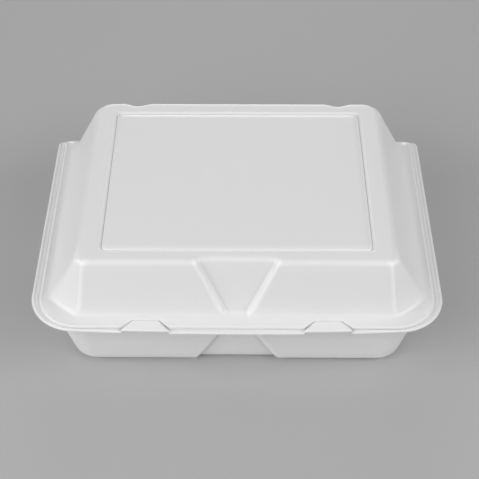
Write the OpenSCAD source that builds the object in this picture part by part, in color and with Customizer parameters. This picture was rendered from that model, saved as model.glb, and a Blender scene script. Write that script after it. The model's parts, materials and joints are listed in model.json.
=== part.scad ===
// Foam hinged lid container: a shallow tray and its lid, thermoformed side by side from one
// sheet of white polystyrene foam and folded shut along a pressed crease at the back.
// Millimetres. +Z is up, the front faces -Y, and the origin is under the middle of the closed box.

/* [Overall] */
// Width of the tray's rim, side to side
rim_w = 235; // [210:1:260]
// Depth of the tray's rim, front corners to crease
rim_d = 166; // [145:1:190]
// Height of the tray up to the top of its rim
tray_h = 40; // [32:1:50]
// Height of the closed lid above the tray's rim
lid_h = 37; // [30:1:39]

/* [Foam sheet] */
// Thickness of the walls and floor
sheet_t = 2.4; // [1.6:0.1:3]
// Thickness of the pressed rims
rim_t = 2; // [1.4:0.1:2.8]
// Gap between the two rims when the lid is shut
seat_gap = 0.3; // [0.2:0.05:0.5]

/* [Tray] */
// Width of the tray's rim at the sides
tray_rim_side = 10.5; // [8:0.5:15]
// Width of the flat rim behind the latches' tongues
tray_land = 3.1; // [2.7:0.1:6]
// Width of the tray's rim at the crease
tray_rim_back = 6; // [4.5:0.5:10]
// How far the side walls lean in from rim to floor
tray_lean_side = 12.5; // [8:0.5:20]
// How far the front and back walls lean in from rim to floor
tray_lean_end = 3.4; // [2:0.1:8]
// How far the front lip bows out in its middle
front_bow = 2; // [0:0.25:3]
// Radius of the rim's front corners, seen from above
tray_corner_r = 27; // [20:1:34]
// Radius of the floor's corners, seen from above
floor_corner_r = 13; // [10:1:22]
// Size of the rounded edge between walls and floor
floor_edge = 6; // [4:0.5:10]
// Half width of the front panel's recess at the rim
tray_dent_top = 9; // [6:0.5:14]
// Half width of the front panel's recess at the floor
tray_dent_low = 23; // [18:0.5:28]
// Depth of the front panel's recess
tray_dent_d = 2.4; // [1:0.1:3.5]

/* [Lid] */
// How far the lid's rim stops short of the tray's rim at the sides
lid_short_side = 5; // [3:0.5:7]
// How far the lid's rim stops short of the tray's lip at the front
lid_short_front = 0.5; // [0.3:0.1:1]
// Width of the lid's rim at the sides
lid_rim_side = 6.5; // [5:0.1:9]
// Width of the flat rim behind the latches' notches
lid_land = 3.3; // [2.7:0.1:6]
// Width of the lid's rim at the crease
lid_rim_back = 2.5; // [2.25:0.25:5]
// How far the side walls lean in from rim to top
lid_lean_side = 17.7; // [12:0.1:22]
// How far the front wall leans in from rim to top
lid_lean_front = 7.9; // [5:0.1:12]
// How far the back wall leans in from rim to top
lid_lean_back = 2; // [2:0.5:8]
// Radius of the lid rim's front corners, seen from above
lid_corner_r = 24; // [18:1:28]
// Radius of the lid's top corners at the front, seen from above
top_corner_r = 6; // [5:0.5:13]
// Size of the rounded edge round the top
top_edge = 3.5; // [2.5:0.25:4]
// Half width of the front wall's V at the top
lid_dent_top = 20; // [16:0.5:24]
// Half width of the front wall's V at the rim
lid_dent_low = 5.5; // [4:0.5:10]
// Depth of the front wall's V
lid_dent_d = 2; // [1:0.1:3]

/* [Top panel] */
// Width of the band beside the panel
band_side = 13.2; // [10:0.1:19]
// Width of the band in front of the panel
band_front = 9.7; // [8:0.1:14]
// Width of the band behind the panel
band_back = 11.4; // [9:0.1:18]
// Depth of the crease round the panel
crease_d = 1.8; // [1:0.1:2.5]
// Width of the panel's rolled edge
panel_roll = 8; // [5:0.5:12]

/* [Back flutes] */
// Distance of each flute from the middle
flute_x = 63; // [50:1:66]
// Width of a flute
flute_w = 19; // [10:1:22]
// Depth of a flute
flute_d = 2.4; // [1:0.1:3.5]

/* [Latches] */
// Distance of each latch from the middle
latch_x = 51; // [46:1:56]
// Width of the tongue at the lip
tongue_low_w = 28; // [20:1:30]
// Width of the tongue at its inner end
tongue_top_w = 15; // [10:1:20]
// Length of the tongue from the lip inwards
tongue_l = 5; // [3.5:0.5:9]
// Height of the tongue above the tray's rim
tongue_h = 2.6; // [2:0.1:4]
// Clearance beside the tongue in the lid's notch
latch_side_gap = 2; // [1:0.25:2.5]
// Clearance behind the tongue in the lid's notch
latch_back_gap = 0.7; // [0.7:0.1:2]

/* [Crease] */
// Radius of the rolled crease
crease_r = 0.6; // [0.4:0.05:0.9]

/* [Hidden] */

foam_white = [0.93, 0.93, 0.92];

// Steps in the corner arcs, at the front and at the back, and round the tray's edge
front_steps = 12;
back_steps = 6;
edge_steps = 6;
// Width of the rolled slope at each side of a recess, and a point on it as shares of width and depth
dent_slope = 4;
dent_roll = [0.4, 0.45];
// Slope at the ends of a latch's tongue and notch
latch_slope = 0.4;
// Height of the tongue at the lip
tongue_low_h = 1.2;
// Rounding of the rims' edges, and width of the riser beside the panel's crease
rim_edge = 0.6;
riser_w = 0.9;
// Plan radii: the rims' back corners, the walls at the rim, front and back, and the panel
back_corner_r = 3;
wall_corner_r = 19;
back_wall_r = 10;
panel_corner_r = 3;
// Thickness of the lid's edge along the crease, and width of the slope beside the rolled crease
crease_t = 0.8;
crease_foot = 0.1;
// Least rounding inside the shells
least_edge = 0.5;
// Points of a half outline before its front corner, and the last of them inside a latch
front_points = 8;
latch_last = 6;

// Heights, the middle between front corners and crease, and the line on which the lid turns
seat_z = tray_h + seat_gap;
lid_rim_z = seat_z + rim_t;
top_z = tray_h + lid_h;
mid_y = front_bow / 2;
axis_y = mid_y + rim_d / 2 - crease_r;
axis_z = tray_h + seat_gap / 2;

// Insets from the tray's outer edge, each as [side, front, back]
all_round = [1, 1, 1];
fillet = [3, 2, 1.5];
fillet_h = 3;
lid_fillet_h = [9, 3, 6];
notch_w = tongue_low_w + 2 * latch_side_gap;
notch_d = tongue_l + latch_back_gap - lid_short_front;
tray_rim_front = tongue_l + latch_slope + tray_land;
lid_rim_front = notch_d + lid_land;
tray_wall_in = [tray_rim_side, tray_rim_front, tray_rim_back];
floor_in = tray_wall_in + [tray_lean_side, tray_lean_end, tray_lean_end];
lid_edge_in = [lid_short_side, lid_short_front, 2 * crease_r + seat_gap];
lid_foot_in = lid_edge_in + [lid_rim_side, lid_rim_front, lid_rim_back];
lid_top_in = lid_foot_in + [lid_lean_side, lid_lean_front, lid_lean_back];
panel_in = lid_top_in + [band_side, band_front, band_back];

function mix(a, b, u) = a + (b - a) * u;
function bend(a, corner, b, u) = mix(mix(a, corner, u), mix(corner, b, u), u);
function backwards(list) = [for (i = [len(list) - 1:-1:0]) list[i]];
function arc(x, y, r, from, steps) =
    [for (i = [0:steps]) let (a = from + 90 * i / steps) [x + r * cos(a), y + r * sin(a)]];

// A ring is one closed outline of a shell at one height: its insets and plan corner radii
// [front, back], the front recess [half width, depth], the flutes' depth, the latches
// [half width, set back, lift], the lift of its back edge and the bow of its front edge.
function ring(z, in, r, dent = [1, 0], flute = 0, latch = [1, 0, 0], back_lift = 0, bow = 0) =
    [z, in, r, dent, flute, latch, back_lift, bow];

// The right half of a ring, from the middle of the front to the middle of the back
function half_outline(s, has_flutes) =
    let (
        z = s[0],
        a = rim_w / 2 - s[1][0],
        f = mid_y - rim_d / 2 + s[1][1],
        b = mid_y + rim_d / 2 - s[1][2],
        rf = s[2][0],
        rb = s[2][1],
        dent_x = s[3][0],
        dent_d = s[3][1],
        front = function (x) f - s[7] * (1 - pow(x / (a - rf), 3)),
        latch_in = s[5][0],
        latch_out = latch_in + latch_slope,
        latch_k = min(1, (a - rf) / (latch_x + latch_out + 1)),
        flute_k = min(1, (a - rb) / (flute_x + flute_w / 2 + 1))
    )
    concat(
        [for (p = [[0, 0, 1], [1, 0, 1], [1, dent_roll[0], dent_roll[1]], [1, 1, 0]])
            let (x = p[0] * dent_x + p[1] * dent_slope)
            [x, front(x) + p[2] * dent_d, z]],
        [for (w = [-latch_out, -latch_in, latch_in, latch_out])
            let (x = (latch_x + w) * latch_k, on = abs(w) < latch_out ? 1 : 0)
            [x, front(x) + on * s[5][1], z + on * s[5][2]]],
        [for (p = arc(a - rf, f + rf, rf, -90, front_steps)) [p[0], p[1], z]],
        [for (i = [0:back_steps]) let (p = arc(a - rb, b - rb, rb, 0, back_steps)[i])
            [p[0], p[1], z + s[6] * i / back_steps]],
        [for (u = has_flutes ? [0.5:-0.25:-0.5] : [])
            [(flute_x + u * flute_w) * flute_k, b - s[4] * (1 + cos(360 * u)) / 2, z + s[6]]],
        [[0, b, z + s[6]]]
    );

function outline(s, has_flutes) =
    let (half = half_outline(s, has_flutes))
    concat(half, [for (i = [len(half) - 2:-1:1]) [-half[i][0], half[i][1], half[i][2]]]);

// One closed skin over a list of rings, with a flat cap on the first and on the last. The two
// halves, and the two ends of a latch, are split into triangles as mirror images.
module skin(rings, has_flutes) {
    outlines = [for (s = rings) outline(s, has_flutes)];
    n = len(outlines[0]);
    last = len(rings) - 1;
    corner = front_points + front_steps / 2;
    turned = function (i) (min(i, n - 1 - i) == latch_last) != (i > n - 1 - i);
    sides = [for (k = [0:last - 1], i = [0:n - 1])
        let (a = k * n + i, b = k * n + (i + 1) % n, c = a + n, d = b + n)
        each turned(i) ? [[a, b, d], [a, d, c]] : [[a, b, c], [b, d, c]]];
    first_cap = [for (i = [0:n - 1]) (corner + n - i) % n];
    last_cap = [for (i = [0:n - 1]) last * n + (corner + i) % n];
    polyhedron([for (o = outlines) each o], concat(sides, [first_cap, last_cap]));
}

// The tray's section from the floor up to the rim: outside at t = 0, or inside at depth t
function tray_section(t) =
    let (
        z1 = t > 0 ? tray_h : tray_h - rim_t,
        edge = max(floor_edge - t, least_edge),
        low = floor_in + t * all_round,
        high = tray_wall_in + t * all_round,
        share = function (z) (z - t) / (z1 - t),
        wall = function (z) mix(low, high, share(z)),
        radii = function (z)
            mix([floor_corner_r, floor_corner_r], [wall_corner_r, back_wall_r], share(z)) - [t, t],
        dent = function (z, k) [mix(tray_dent_low, tray_dent_top, share(z)), tray_dent_d * k]
    )
    concat(
        [for (u = [0, 0.25, 0.5, 0.75, 1]) let (z = t + edge * u * u)
            ring(z, bend(low + edge * all_round, low, wall(t + edge), u),
                radii(z), dent(z, 1))],
        [for (u = [0, 0.3, 0.6, 1]) let (z = z1 - fillet_h * (1 - u) * (1 - u))
            ring(z, bend(wall(z1 - fillet_h), high, high - fillet, u), radii(z), dent(z, 1 - u))]
    );

// The tray: one formed shell, with two tongues pushed up from its lip. Its edge is rounded at the
// front and the sides, and rolled up into the crease at the back.
module tray() {
    under_z = tray_h - rim_t;
    radii = function (d) [tray_corner_r - d, back_corner_r];
    rim_in = function (d) d * [1, 1, 0.5] + crease_r * [0, 0, 1];
    lip = [tongue_low_w / 2, 0, tongue_low_h];
    end = [tongue_top_w / 2, 0, tongue_h];
    foot = [tongue_top_w / 2, 0, 0];
    edge = [for (i = [0:edge_steps]) let (
            around = -90 + 180 * i / edge_steps,
            roll = -90 + 270 * i / edge_steps,
            in = rim_edge * (1 - cos(around)),
            z = tray_h - rim_t * (1 - sin(around)) / 2,
            back_z = axis_z + crease_r * sin(roll)
        )
        ring(z, [in, in, crease_r * (1 - cos(roll))], radii(in), latch = lip,
            back_lift = back_z - z, bow = front_bow)];
    roll_in = 2 * crease_r + crease_foot;
    foot_in = tongue_l + latch_slope;
    rim = concat(
        [ring(under_z, rim_in(foot_in), radii(foot_in), latch = foot)],
        [ring(under_z, rim_in(tongue_l), radii(tongue_l), latch = end)],
        edge,
        [ring(tray_h, roll_in * all_round, radii(roll_in), latch = lip, bow = front_bow)],
        [ring(tray_h, rim_in(tongue_l), radii(tongue_l), latch = end)],
        [ring(tray_h, rim_in(foot_in), radii(foot_in), latch = foot)]
    );
    color(foam_white)
        skin(concat(tray_section(sheet_t), backwards(rim), backwards(tray_section(0))), false);
}

// The lid's section from the panel out to the rim: outside at t = 0, or inside at depth t
function lid_section(t) =
    let (
        z1 = top_z - t,
        z0 = t > 0 ? seat_z : lid_rim_z,
        edge = max(top_edge - t, least_edge),
        high = lid_top_in + t * all_round,
        low = lid_foot_in + t * all_round,
        share = function (z) (z - z0) / (z1 - z0),
        wall = function (z) mix(low, high, share(z)),
        turn = function (z, h) max(0, 1 - sqrt((z - z0) / h)),
        foot = function (z) [for (i = [0:2]) let (h = lid_fillet_h[i]) z - z0 < h
            ? bend(wall(z0 + h)[i], low[i], low[i] - fillet[i], turn(z, h)) : wall(z)[i]],
        panel_radii = [panel_corner_r, panel_corner_r],
        radii = function (z)
            mix([wall_corner_r, back_wall_r], [top_corner_r, back_wall_r], share(z)) - [t, t],
        dent = function (z, k) [mix(lid_dent_low, lid_dent_top, share(z)), lid_dent_d * k]
    )
    concat(
        [for (u = [0, 0.4, 0.75, 1]) ring(z1 - crease_d * (1 - cos(90 * u)),
            panel_in + panel_roll * (1 - u) * all_round, panel_radii)],
        [ring(z1, panel_in - riser_w * all_round, panel_radii)],
        [for (u = [0, 0.25, 0.5, 0.75, 1]) let (z = z1 - edge * u * u)
            ring(z, bend(high + edge * all_round, high, wall(z1 - edge), u),
                radii(z), dent(z, 1), flute_d)],
        [for (u = [0, 0.25, 0.42, 0.6, 0.8, 1])
            let (z = z0 + max(lid_fillet_h) * (1 - u) * (1 - u), k = 1 - turn(z, lid_fillet_h[1]))
            ring(z, foot(z), radii(z), dent(z, k), flute_d * k, [notch_w / 2, 0, 0])]
    );

// The lid: one formed shell, with a notch in its front rim for each tongue
module lid() {
    radii = [lid_corner_r, back_corner_r];
    notch = [notch_w / 2, notch_d, 0];
    thin = crease_t - rim_t;
    rim = [
        ring(lid_rim_z, lid_edge_in + rim_edge * all_round, radii, latch = notch,
            back_lift = thin),
        ring(lid_rim_z - rim_edge, lid_edge_in, radii, latch = notch,
            back_lift = thin + rim_edge),
        ring(seat_z, lid_edge_in, radii, latch = notch)
    ];
    color(foam_white)
        skin(concat(lid_section(0), rim, backwards(lid_section(sheet_t))), true);
}

tray();
lid();
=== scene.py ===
import json
import math

import bpy
import numpy as np
from mathutils import Matrix, Vector


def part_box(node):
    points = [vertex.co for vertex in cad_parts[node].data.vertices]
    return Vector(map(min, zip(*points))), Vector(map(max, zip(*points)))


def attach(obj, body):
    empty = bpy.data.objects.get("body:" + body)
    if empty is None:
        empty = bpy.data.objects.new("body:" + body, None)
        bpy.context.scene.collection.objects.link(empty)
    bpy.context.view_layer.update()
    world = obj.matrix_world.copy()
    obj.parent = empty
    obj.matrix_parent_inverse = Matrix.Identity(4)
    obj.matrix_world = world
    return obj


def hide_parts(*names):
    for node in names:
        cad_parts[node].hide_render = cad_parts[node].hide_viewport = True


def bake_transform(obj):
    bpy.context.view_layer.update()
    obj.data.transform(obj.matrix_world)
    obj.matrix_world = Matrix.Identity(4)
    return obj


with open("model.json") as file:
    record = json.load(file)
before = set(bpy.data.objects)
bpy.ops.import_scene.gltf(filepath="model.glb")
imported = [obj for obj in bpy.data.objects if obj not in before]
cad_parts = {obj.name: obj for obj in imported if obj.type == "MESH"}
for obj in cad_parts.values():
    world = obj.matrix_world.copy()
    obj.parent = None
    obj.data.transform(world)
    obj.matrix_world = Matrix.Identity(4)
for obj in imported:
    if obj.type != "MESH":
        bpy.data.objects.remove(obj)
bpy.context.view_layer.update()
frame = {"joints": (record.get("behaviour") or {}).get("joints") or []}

# Tray
# The lower shell of the box, drawn hot from a sheet of white polystyrene foam, so its walls lean
# out, its corners are round and its thickness is even. The rim round its mouth is pressed thinner,
# with a bead along its sides, and two tongues that hold the lid are pushed up from its front lip.
mm = 0.001
tray_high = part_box("tray")[1] / mm
lid_low, lid_high = [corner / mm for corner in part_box("lid")]
hinge = Vector(frame["joints"][0]["pos_m"]) / mm

# Millimetres from here to the meshes, which are in metres
sheet_t = 2.4
rim_t = 2
web_t = 0.6
rim_gap = 0.05
front_bow = 2
mid_y = front_bow / 2
half_w = tray_high.x
half_d = tray_high.y - mid_y
tray_h = 2 * hinge.z - lid_low.z

# Insets from the tray's outer edge are [side, front, back]
hinge_in = mid_y + half_d - hinge.y + rim_gap
tray_wall_in = np.array([10.5, 8.5, 6])
floor_in = tray_wall_in + [12.5, 3.4, 3.4]
fillet = np.array([3, 2, 1.5])
fillet_h = 3
floor_edge = 6
tray_corner_r = 27
floor_corner_r = 13
wall_corner_r = 19
back_wall_r = 10
back_corner_r = 3
rim_round = 0.9

# The rims are narrower along the back: the share of a ring's inset at the side, front and back
tray_rim_in = np.array([1, 1, 0.45])

# The beads along the side rims: height, inset from the edge and width
tray_bead = (0.5, 1.3, 0.6)
tray_inner_bead = (0.2, 3.5, 0.5)

# The recess in the front wall, and the latch tongues
tray_dent_top = 2
tray_dent_low = 23
tray_dent_d = 2.4
dent_slope = 2.4
latch_x = 51
tongue_low_w = 26
tongue_top_w = 14
tongue_l = 5
tongue_h = 2.5
tongue_low_h = 1.7
tongue_slope = 0.5
tongue_foot = 0.4

# The flutes, which only the lid has, keep their places on every outline
flute_x = 63
flute_w = 19
flute_fit = 0.98

# Where the two ends of a faceted corner aim, in shares of its radius
facet_x = 0.9
facet_y = -0.4

# Points of each outline, between the marks along its front and back edges
front_counts = (6, 6, 12, 8, 12, 8, 10)
back_counts = (6, 24, 16)
filling_shares = (0.02, 0.3, 0.6, 0.85)


def mix(a, b, u):
    return a + (b - a) * u


def bend(a, corner, b, u):
    """A point on the curve that leaves a towards the corner and arrives at b from it."""
    return mix(mix(a, corner, u), mix(corner, b, u), u)


def smooth(u):
    return u * u * (3 - 2 * u)


def bead(size, inset):
    """How high a bead of that height, place and width stands at an inset."""
    height, middle, width = size
    return height * math.exp(-((inset - middle) / width) ** 2)


def stretch(marks, counts):
    """Points between the marks, so many in each gap, and how far along its gap each one is."""
    gap = np.repeat(np.arange(len(counts)), counts)
    along = np.concatenate([np.arange(n) / n for n in counts])
    marks = np.asarray(marks, float)
    return marks[gap] + (marks[gap + 1] - marks[gap]) * along, gap, along


def ring(z, inset, corner, dent=(20, 0), flute=0, latch=(2, 1, 0, 0), facet=0,
         bow=0, side_lift=0, back_lift=0):
    """One closed outline of a shell. Its corners are [front, back] radii, the front ones turned by
    a share from arcs to facets. The dent is the front recess's half width and depth, and the latch
    is a tongue's or notch's half width, the width of its flanks, its set back and its lift."""
    side, front, back = inset
    front_r, back_r = corner
    x_side, y_front, y_back = half_w - side, mid_y - half_d + front, mid_y + half_d - back
    x_turn = x_side - front_r

    dent_in, dent_d = dent
    latch_in, flank, latch_back, latch_lift = latch
    latch_out = latch_in + flank
    marks = [0, dent_in, dent_in + dent_slope, latch_x - latch_out, latch_x - latch_in,
             latch_x + latch_in, latch_x + latch_out, x_turn]
    x, gap, along = stretch(marks, front_counts)
    dip = np.select([gap == 0, gap == 1], [1.0, mix(1 - along, smooth(1 - along), 0.5)], 0.0)
    hold = np.select([gap == 3, gap == 4, gap == 5], [along, 1.0, 1 - along], 0.0)
    y = y_front - bow * (1 - (x / x_turn) ** 3) + dip * dent_d + hold * latch_back
    front_edge = np.stack([x, y, z + hold * latch_lift], 1)

    share = np.linspace(0, 1, 25)
    turn = (share - 1) * math.pi / 2
    out = mix(np.cos(turn), bend(0, facet_x, 1, share), facet)
    forth = mix(np.sin(turn), bend(-1, facet_y, 0, share), facet)
    front_corner = np.stack([x_turn + front_r * out, y_front + front_r * (1 + forth),
                             z + side_lift * smooth(np.clip(2 * share - 1, 0, 1))], 1)
    share = np.linspace(0, 1, 13)
    turn = share * math.pi / 2
    back_corner = np.stack([x_side - back_r + back_r * np.cos(turn),
                            y_back - back_r + back_r * np.sin(turn),
                            z + mix(side_lift, back_lift, smooth(share))], 1)
    side_edge = mix(front_corner[-1], back_corner[0], np.linspace(0, 1, 14)[1:-1, None])

    near = min(1, flute_fit * (x_side - back_r) / (flute_x + flute_w / 2))
    marks = [x_side - back_r, near * (flute_x + flute_w / 2), near * (flute_x - flute_w / 2), 0]
    x, gap, along = stretch(marks, back_counts)
    dip = np.where(gap == 1, (1 - np.cos(2 * math.pi * along)) / 2, 0)
    back_edge = np.stack([x, y_back - flute * dip, np.full(len(x), z + back_lift)], 1)[1:]

    middle_back = [[0, y_back, z + back_lift]]
    half = np.concatenate([front_edge, front_corner, side_edge,
                           back_corner, back_edge, middle_back])
    return np.concatenate([half, half[-2:0:-1] * [-1, 1, 1]])


def new_piece(name, points, faces):
    mesh = bpy.data.meshes.new(name)
    mesh.from_pydata((np.asarray(points) * mm).tolist(), [], faces)
    mesh.polygons.foreach_set("use_smooth", np.ones(len(faces), bool))
    mesh.update()
    piece = bpy.data.objects.new(name, mesh)
    bpy.context.scene.collection.objects.link(piece)
    return piece


def skin(rings):
    """The points and faces of a closed skin through the rings in order, with a cap at each end."""
    around = len(rings[0])
    first = np.arange(around)
    after = np.roll(first, -1)
    faces = [tuple(first[::-1].tolist())]
    for k in range(len(rings) - 1):
        low, high = k * around, (k + 1) * around
        faces += np.stack([first + low, after + low, after + high, first + high], 1).tolist()
    faces.append(tuple((first + (len(rings) - 1) * around).tolist()))
    return np.concatenate(rings), faces


def shell(name, rings):
    """A formed sheet: the skin through its rings, filled in at both ends by shrunken copies."""
    def filling(end):
        return [mix(end.mean(0), end, share) for share in filling_shares]

    return new_piece(name, *skin(filling(rings[-1]) + rings[::-1] + filling(rings[0])[::-1]))


def tray_section(depth):
    """The tray's rings from the floor up to the rim, outside at depth 0 or inside the sheet."""
    top = tray_h if depth else tray_h - rim_t
    edge = floor_edge - depth
    low, high = floor_in + depth, tray_wall_in + depth
    floor_r = np.array([floor_corner_r, floor_corner_r]) - depth
    wall_r = np.array([wall_corner_r, back_wall_r]) - depth

    def wall(z):
        return mix(low, high, (z - depth) / (top - depth))

    def at(z, inset, dent_share=1.0):
        up = (z - depth) / (top - depth)
        dent = (mix(tray_dent_low, tray_dent_top, up), tray_dent_d * dent_share)
        return ring(z, inset, mix(floor_r, wall_r, up), dent)

    rings = [at(depth, low + edge + 1)]
    for u in np.linspace(0, 1, 11):
        rings.append(at(depth + edge * u * u, bend(low + edge, low, wall(depth + edge), u)))
    for z in np.linspace(depth + edge, top - fillet_h, 8)[1:-1]:
        rings.append(at(z, wall(z)))
    for u in np.linspace(0, 1, 9):
        z = top - fillet_h * (1 - u) ** 2
        rings.append(at(z, bend(wall(top - fillet_h), high, high - fillet, u), 1 - smooth(u)))
    return rings


def tray_rim():
    """The tray's rim from under its inner edge, round the lip and over the top."""
    under = tray_h - rim_t
    thinned = rim_t - web_t
    foot_in = tongue_l + tongue_foot

    def at(z, inset, latch, bow=0, side_lift=0, back_lift=0):
        return ring(z, inset * tray_rim_in + [0, 0, hinge_in],
                    (tray_corner_r - inset, back_corner_r), latch=latch,
                    bow=bow, side_lift=side_lift, back_lift=back_lift)

    def tongue(share, lift_share=1.0):
        """The tongue's half width, flanks and lift, from the lip to its inner end."""
        lift = mix(tongue_low_h, tongue_h, math.sin(share * math.pi / 2))
        return (mix(tongue_low_w, tongue_top_w, share) / 2, tongue_slope, 0, lift * lift_share)

    rings = [at(under, foot_in, tongue(1, 0))]
    for share in np.linspace(1, 0, 9)[:-1]:
        rings.append(at(under, mix(rim_round, tongue_l, share), tongue(share),
                        front_bow * (1 - share), 0, thinned * (1 - share)))
    for turn in np.radians(np.linspace(-90, 90, 11)):
        down = (1 - math.sin(turn)) / 2
        inset = rim_round * (1 - math.cos(turn))
        lift = bead(tray_bead, inset) * (1 - down)
        rings.append(at(tray_h - rim_t * down, inset, tongue(0), front_bow, lift, thinned * down))
    for share in np.linspace(0, 1, 15)[1:]:
        inset = mix(rim_round, tongue_l, share)
        lift = bead(tray_bead, inset) + bead(tray_inner_bead, inset)
        rings.append(at(tray_h, inset, tongue(share), front_bow * (1 - share), lift))
    rings.append(at(tray_h, mix(tongue_l, foot_in, 0.5), tongue(1, 0.5)))
    rings.append(at(tray_h, foot_in, tongue(1, 0)))
    return rings


class Wire:
    """One output of a material's node. Arithmetic on wires adds Math nodes to that material."""

    def __init__(self, tree, output):
        self.tree = tree
        self.output = output

    def node(self, kind, settings, sockets, output=0):
        made = self.tree.nodes.new(kind)
        for name, value in settings.items():
            setattr(made, name, value)
        for name, value in sockets.items():
            if isinstance(value, Wire):
                self.tree.links.new(value.output, made.inputs[name])
            else:
                made.inputs[name].default_value = value
        return Wire(self.tree, made.outputs[output])

    def math(self, operation, first, second):
        return self.node("ShaderNodeMath", {"operation": operation}, {0: first, 1: second})

    def __add__(self, other):
        return self.math("ADD", self, other)

    def __sub__(self, other):
        return self.math("SUBTRACT", self, other)

    def __mul__(self, other):
        return self.math("MULTIPLY", self, other)

    def __rsub__(self, other):
        return self.math("SUBTRACT", other, self)

    __radd__ = __add__
    __rmul__ = __mul__


def foam_material(name):
    """White foam sheet: a satin skin over tiny closed cells, faintly dimpled and mottled, into
    which light sinks a little. A painted highlight makes it whiter on convex edges, and painted
    shade makes it grey in concave folds."""
    white = (0.86, 0.86, 0.86, 1)
    cell_white = (0.82, 0.82, 0.82, 1)
    # Painted highlight colour for convex edges
    painted_highlight_white = (0.97, 0.97, 0.97, 1)
    # Painted shade colour for concave folds and creases
    painted_fold_shade_grey = (0.6, 0.6, 0.6, 1)
    cell_size, grain_size, swell_size = 0.9 * mm, 2.5 * mm, 35 * mm
    light_depth, dimple_depth = 1.0 * mm, 0.4 * mm
    highlight_curve, highlight_gain = 0.509, 80
    shade_curve, shade_gain = 0.49, 11

    # Where the painted edge highlight fades out: the ends of the rims off the hinge's level,
    # squared, and the levels at the top of the panel
    rim_near, rim_far = 6.0, 14.0
    panel_near, panel_far = lid_high.z + 0.28, lid_high.z + 0.1

    material = bpy.data.materials.new(name)
    material.use_nodes = True
    tree = material.node_tree
    shader = tree.nodes["Principled BSDF"]
    shader.inputs["IOR"].default_value = 1.59
    shader.inputs["Subsurface Weight"].default_value = 0.5
    shader.inputs["Subsurface Radius"].default_value = (1, 1, 1)
    shader.inputs["Subsurface Scale"].default_value = light_depth
    place = Wire(tree, tree.nodes.new("ShaderNodeTexCoord").outputs["Object"])

    cells = place.node("ShaderNodeTexVoronoi", {"feature": "SMOOTH_F1"},
                       {"Vector": place, "Scale": 1 / cell_size, "Smoothness": 0.6})
    grain = place.node("ShaderNodeTexNoise", {},
                       {"Vector": place, "Scale": 1 / grain_size, "Detail": 4.0})
    swell = place.node("ShaderNodeTexNoise", {},
                       {"Vector": place, "Scale": 1 / swell_size, "Detail": 2.0})

    # The painted edge highlight is kept off the rims and the top of the panel, which are flat
    curve = place.node("ShaderNodeNewGeometry", {}, {}, output="Pointiness")
    level = place.node("ShaderNodeSeparateXYZ", {}, {"Vector": place}, output="Z") * (1 / mm)
    rim_way = level - hinge.z
    off_rim = place.node("ShaderNodeMapRange", {},
                         {"Value": rim_way * rim_way, "From Min": rim_near, "From Max": rim_far})
    off_panel = place.node("ShaderNodeMapRange", {},
                           {"Value": level, "From Min": panel_near, "From Max": panel_far})

    def tint(share, first, second):
        return place.node("ShaderNodeMix", {"data_type": "RGBA"},
                          {0: share, 6: first, 7: second}, output=2)

    mottle = 0.5 * cells + 0.6 * (grain - 0.5)
    colour = tint(mottle * 0.6, white, cell_white)
    # Painted highlight: whiter where the pointiness shows a convex edge
    colour = tint((curve - highlight_curve) * highlight_gain * off_rim * off_panel, colour, painted_highlight_white)
    # Painted shade: greyer where the pointiness shows a concave fold or crease
    colour = tint((shade_curve - curve) * shade_gain, colour, painted_fold_shade_grey)
    height = cells * 0.05 + grain * 0.10 + swell * 0.8
    bump = place.node("ShaderNodeBump", {},
                      {"Strength": 0.10, "Distance": dimple_depth, "Height": height})

    tree.links.new(colour.output, shader.inputs["Base Color"])
    tree.links.new((0.30 + 0.08 * grain).output, shader.inputs["Roughness"])
    tree.links.new(bump.output, shader.inputs["Normal"])
    return material


tray = shell("tray_shell", tray_section(sheet_t) + tray_rim()[::-1] + tray_section(0)[::-1])
tray.data.materials.append(foam_material("tray_foam"))
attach(tray, "tray")
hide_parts("tray")

# Lid
# The upper shell, drawn from the same sheet beside the tray and folded over it. Its top panel is
# ringed by a sharp crease, its front wall has a V-shaped recess and its back wall two flutes, which
# stiffen it. Two notches in its front rim drop over the tray's tongues.
seat_z = lid_low.z
lid_rim_z = seat_z + rim_t
top_z = lid_high.z
lid_edge_in = np.array([half_w - lid_high.x, lid_low.y - mid_y + half_d,
                        mid_y + half_d - lid_high.y])
lid_foot_in = lid_edge_in + [6.5, 8.5, 2.5]
lid_top_in = lid_foot_in + [17.7, 7.9, 2]
panel_in = lid_top_in + [13.2, 9.7, 11.4]
lid_corner_r = 24
lid_wall_r = 17
top_corner_r = 3
panel_corner_r = 3
top_edge = 3.5
least_edge = 0.5
crease_d = 1.4
panel_rise = 0.3
panel_roll = 5
riser_w = 1.9
riser_land = 0.6
lid_dent_top = 21.3
lid_dent_low = 4.6
lid_dent_d = 2.6
flute_d = 2.4
lid_fillet_h = np.array([9, 3, 6])
notch_clear = 0.2
notch_gap = 0.45
notch_w = tongue_top_w + 2 * tongue_slope + notch_clear
notch_flank = (tongue_low_w - tongue_top_w) / 2
notch_d = tongue_l + notch_gap - lid_edge_in[1]
notch_taper = 0.63
lid_rim_in = np.array([1, 1, 0.4])
lid_flat_in = 3
lid_under_round = 0.7
lid_bead = (0.35, 1.3, 0.5)
flange_shares = (0.15, 0.4, 0.7)


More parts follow.
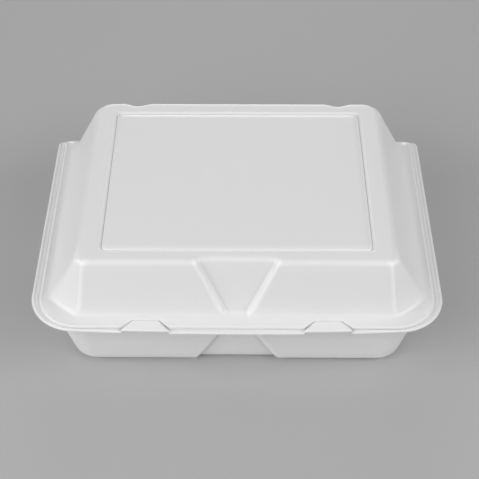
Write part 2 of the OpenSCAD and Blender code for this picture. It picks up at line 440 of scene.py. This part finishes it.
def lid_section(depth):
    """The lid's rings from the panel out and down to the rim, outside at depth 0 or inside."""
    top = top_z - depth
    low_z = seat_z if depth else lid_rim_z
    edge = max(top_edge - depth, least_edge)
    high, low = lid_top_in + depth, lid_foot_in + depth
    foot_r = np.array([lid_wall_r, back_wall_r]) - depth
    high_r = np.array([top_corner_r, back_wall_r]) - depth
    panel_r = (panel_corner_r, panel_corner_r)

    def wall(z):
        return mix(low, high, (z - low_z) / (top - low_z))

    def at(z, inset, share=1.0):
        up = (z - low_z) / (top - low_z)
        dent = (mix(lid_dent_low, lid_dent_top, up), lid_dent_d * share)
        return ring(z, inset, mix(foot_r, high_r, up), dent, flute_d * share,
                    latch=(notch_w / 2, notch_flank, 0, 0), facet=1)

    rings = []
    for turn in np.radians(np.linspace(0, 90, 17)):
        rings.append(ring(mix(top - crease_d, top + panel_rise, math.cos(turn)),
                          panel_in + panel_roll * (1 - math.sin(turn)), panel_r))
    for u in np.linspace(0, 1, 7)[1:]:
        rings.append(ring(top - crease_d * (1 - math.sin(u * math.pi / 2)),
                          panel_in - riser_w * u, panel_r))
    rings.append(ring(top, panel_in - riser_w - riser_land, panel_r))
    for u in np.linspace(0, 1, 13):
        rings.append(at(top - edge * u * u, bend(high + edge, high, wall(top - edge), u)))
    for z in np.linspace(top - edge, low_z + lid_fillet_h.max(), 7)[1:-1]:
        rings.append(at(z, wall(z)))
    start = mix(low, high, lid_fillet_h / (top - low_z))
    for u in np.linspace(0, 1, 17):
        up = lid_fillet_h.max() * (1 - u) ** 2
        turn = 1 - np.sqrt(np.clip(up / lid_fillet_h, 0, 1))
        inset = np.where(up < lid_fillet_h, bend(start, low, low - fillet, turn), wall(low_z + up))
        rings.append(at(low_z + up, inset, 1 - smooth(turn[1])))
    return rings


def lid_rim():
    """The lid's rim from its top, round the edge and under to where it rests on the tray."""
    low_z = tray_h + rim_gap
    thick = lid_rim_z - low_z

    def at(z, inset, side_lift=0):
        hinge_z = seat_z + web_t * (z - low_z) / thick
        return ring(z, inset * lid_rim_in + [lid_edge_in[0], lid_edge_in[1], hinge_in],
                    (lid_corner_r - inset, back_corner_r),
                    latch=(notch_w / 2, notch_flank, notch_d - notch_taper * inset, 0),
                    side_lift=side_lift, back_lift=hinge_z - z)

    insets = np.linspace(lid_flat_in, 1, 9)
    rings = [at(lid_rim_z, inset, bead(lid_bead, inset)) for inset in insets]
    for turn in np.radians(np.linspace(90, -90, 13)):
        width = rim_round if turn > 0 else lid_under_round
        lift = bead(lid_bead, rim_round) * max(0, math.sin(turn))
        rings.append(at(low_z + thick * (1 + math.sin(turn)) / 2,
                        width * (1 - math.cos(turn)), lift))
    return rings


outside, rim = lid_section(0), lid_rim()
flange = [mix(outside[-1], rim[0], share) for share in flange_shares]
lid = shell("lid_shell", outside + flange + rim + lid_section(sheet_t)[::-1])
lid.data.materials.append(foam_material("lid_foam"))
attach(lid, "lid")
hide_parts("lid")

# Hinge web
# The strip of the same sheet along the back that joins the lid to the tray. It is pressed to a
# quarter of the sheet's thickness, which lets the real sheet fold; here it is a fixed half ring
# round the hinge line.
web_half_w = lid_high.x - back_corner_r
web_in = seat_z - hinge.z
web_out = web_in + web_t
web_tail = 0.5


def web_outline(x):
    """The web's section: a half ring round the hinge line, with a flat tail on tray and lid."""
    turn = np.radians(np.linspace(-90, 90, 17))
    y, z = [], []
    for radius, way in ((web_out, 1), (web_in, -1)):
        y += [-web_tail, *(radius * np.cos(turn)), -web_tail]
        z += [-radius * way, *(radius * np.sin(turn * way)), radius * way]
    return np.stack([np.full(len(y), x), hinge.y + np.array(y), hinge.z + np.array(z)], 1)


web_stations = np.linspace(-web_half_w, web_half_w, 41)
web = new_piece("hinge_web", *skin([web_outline(x) for x in web_stations]))
web.data.materials.append(tray.data.materials[0])
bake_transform(web)

# Stage
# A plain grey floor, soft lights in front, at both sides and behind, an even white sky, and the
# camera, which looks down on the box from in front as the photo does.
reach = 6.0
floor_grey = (0.47, 0.47, 0.47, 1)
floor_mesh = bpy.data.meshes.new("floor")
floor_mesh.from_pydata([(-reach, -reach, 0), (reach, -reach, 0), (reach, reach, 0),
                        (-reach, reach, 0)], [], [(0, 1, 2, 3)])
floor = bpy.data.objects.new("floor", floor_mesh)
bpy.context.scene.collection.objects.link(floor)
floor_paint = bpy.data.materials.new("floor_paint")
floor_paint.use_nodes = True
floor_shader = floor_paint.node_tree.nodes["Principled BSDF"]
floor_shader.inputs["Base Color"].default_value = floor_grey
floor_shader.inputs["Roughness"].default_value = 0.8
floor_mesh.materials.append(floor_paint)
middle = Vector((0, mid_y - 0.5, tray_h)) * mm


def soft_light(name, azimuth, elevation, distance, width, power):
    """A square light that faces the box, azimuth degrees to the right of its front."""
    turn, rise = math.radians(azimuth), math.radians(elevation)
    away = Vector((math.sin(turn) * math.cos(rise), -math.cos(turn) * math.cos(rise),
                   math.sin(rise)))
    lamp = bpy.data.lights.new(name, "AREA")
    lamp.size = width
    lamp.energy = power
    light = bpy.data.objects.new(name, lamp)
    light.location = middle + away * distance
    light.rotation_euler = away.to_track_quat("Z", "Y").to_euler()
    bpy.context.scene.collection.objects.link(light)


soft_light("left_front_light", -35, 32, 1.2, 0.6, 3.0)
soft_light("left_low_light", -65, 10, 1.2, 0.6, 1.0)
soft_light("left_side_light", -70, 30, 1.2, 0.6, 4.4)
soft_light("right_front_light", 35, 35, 1.2, 0.6, 2.0)
soft_light("right_side_light", 70, 34, 1.2, 0.6, 4.5)
soft_light("back_light", 180, 12, 1.2, 0.6, 4.2)

world = bpy.data.worlds.new("studio")
world.use_nodes = True
sky = world.node_tree.nodes["Background"]
sky.inputs["Color"].default_value = (1, 1, 1, 1)
sky.inputs["Strength"].default_value = 0.26
bpy.context.scene.world = world

azimuth, elevation = math.radians(0.25), math.radians(43.22)
view_distance = 0.7238
away = Vector((math.sin(azimuth) * math.cos(elevation), -math.cos(azimuth) * math.cos(elevation),
               math.sin(elevation)))
right = Vector((math.cos(azimuth), math.sin(azimuth), 0))
up = away.cross(right)
lens = bpy.data.cameras.new("camera")
lens.sensor_width = 36
lens.lens = 89.7
lens.shift_x = 0.0045
lens.shift_y = -0.022
camera = bpy.data.objects.new("camera", lens)
camera.matrix_world = Matrix.Translation(middle + away * view_distance) @ Matrix(
    (right, up, away)).transposed().to_4x4()
bpy.context.scene.collection.objects.link(camera)
bpy.context.scene.camera = camera
bpy.context.scene.view_settings.view_transform = "Standard"
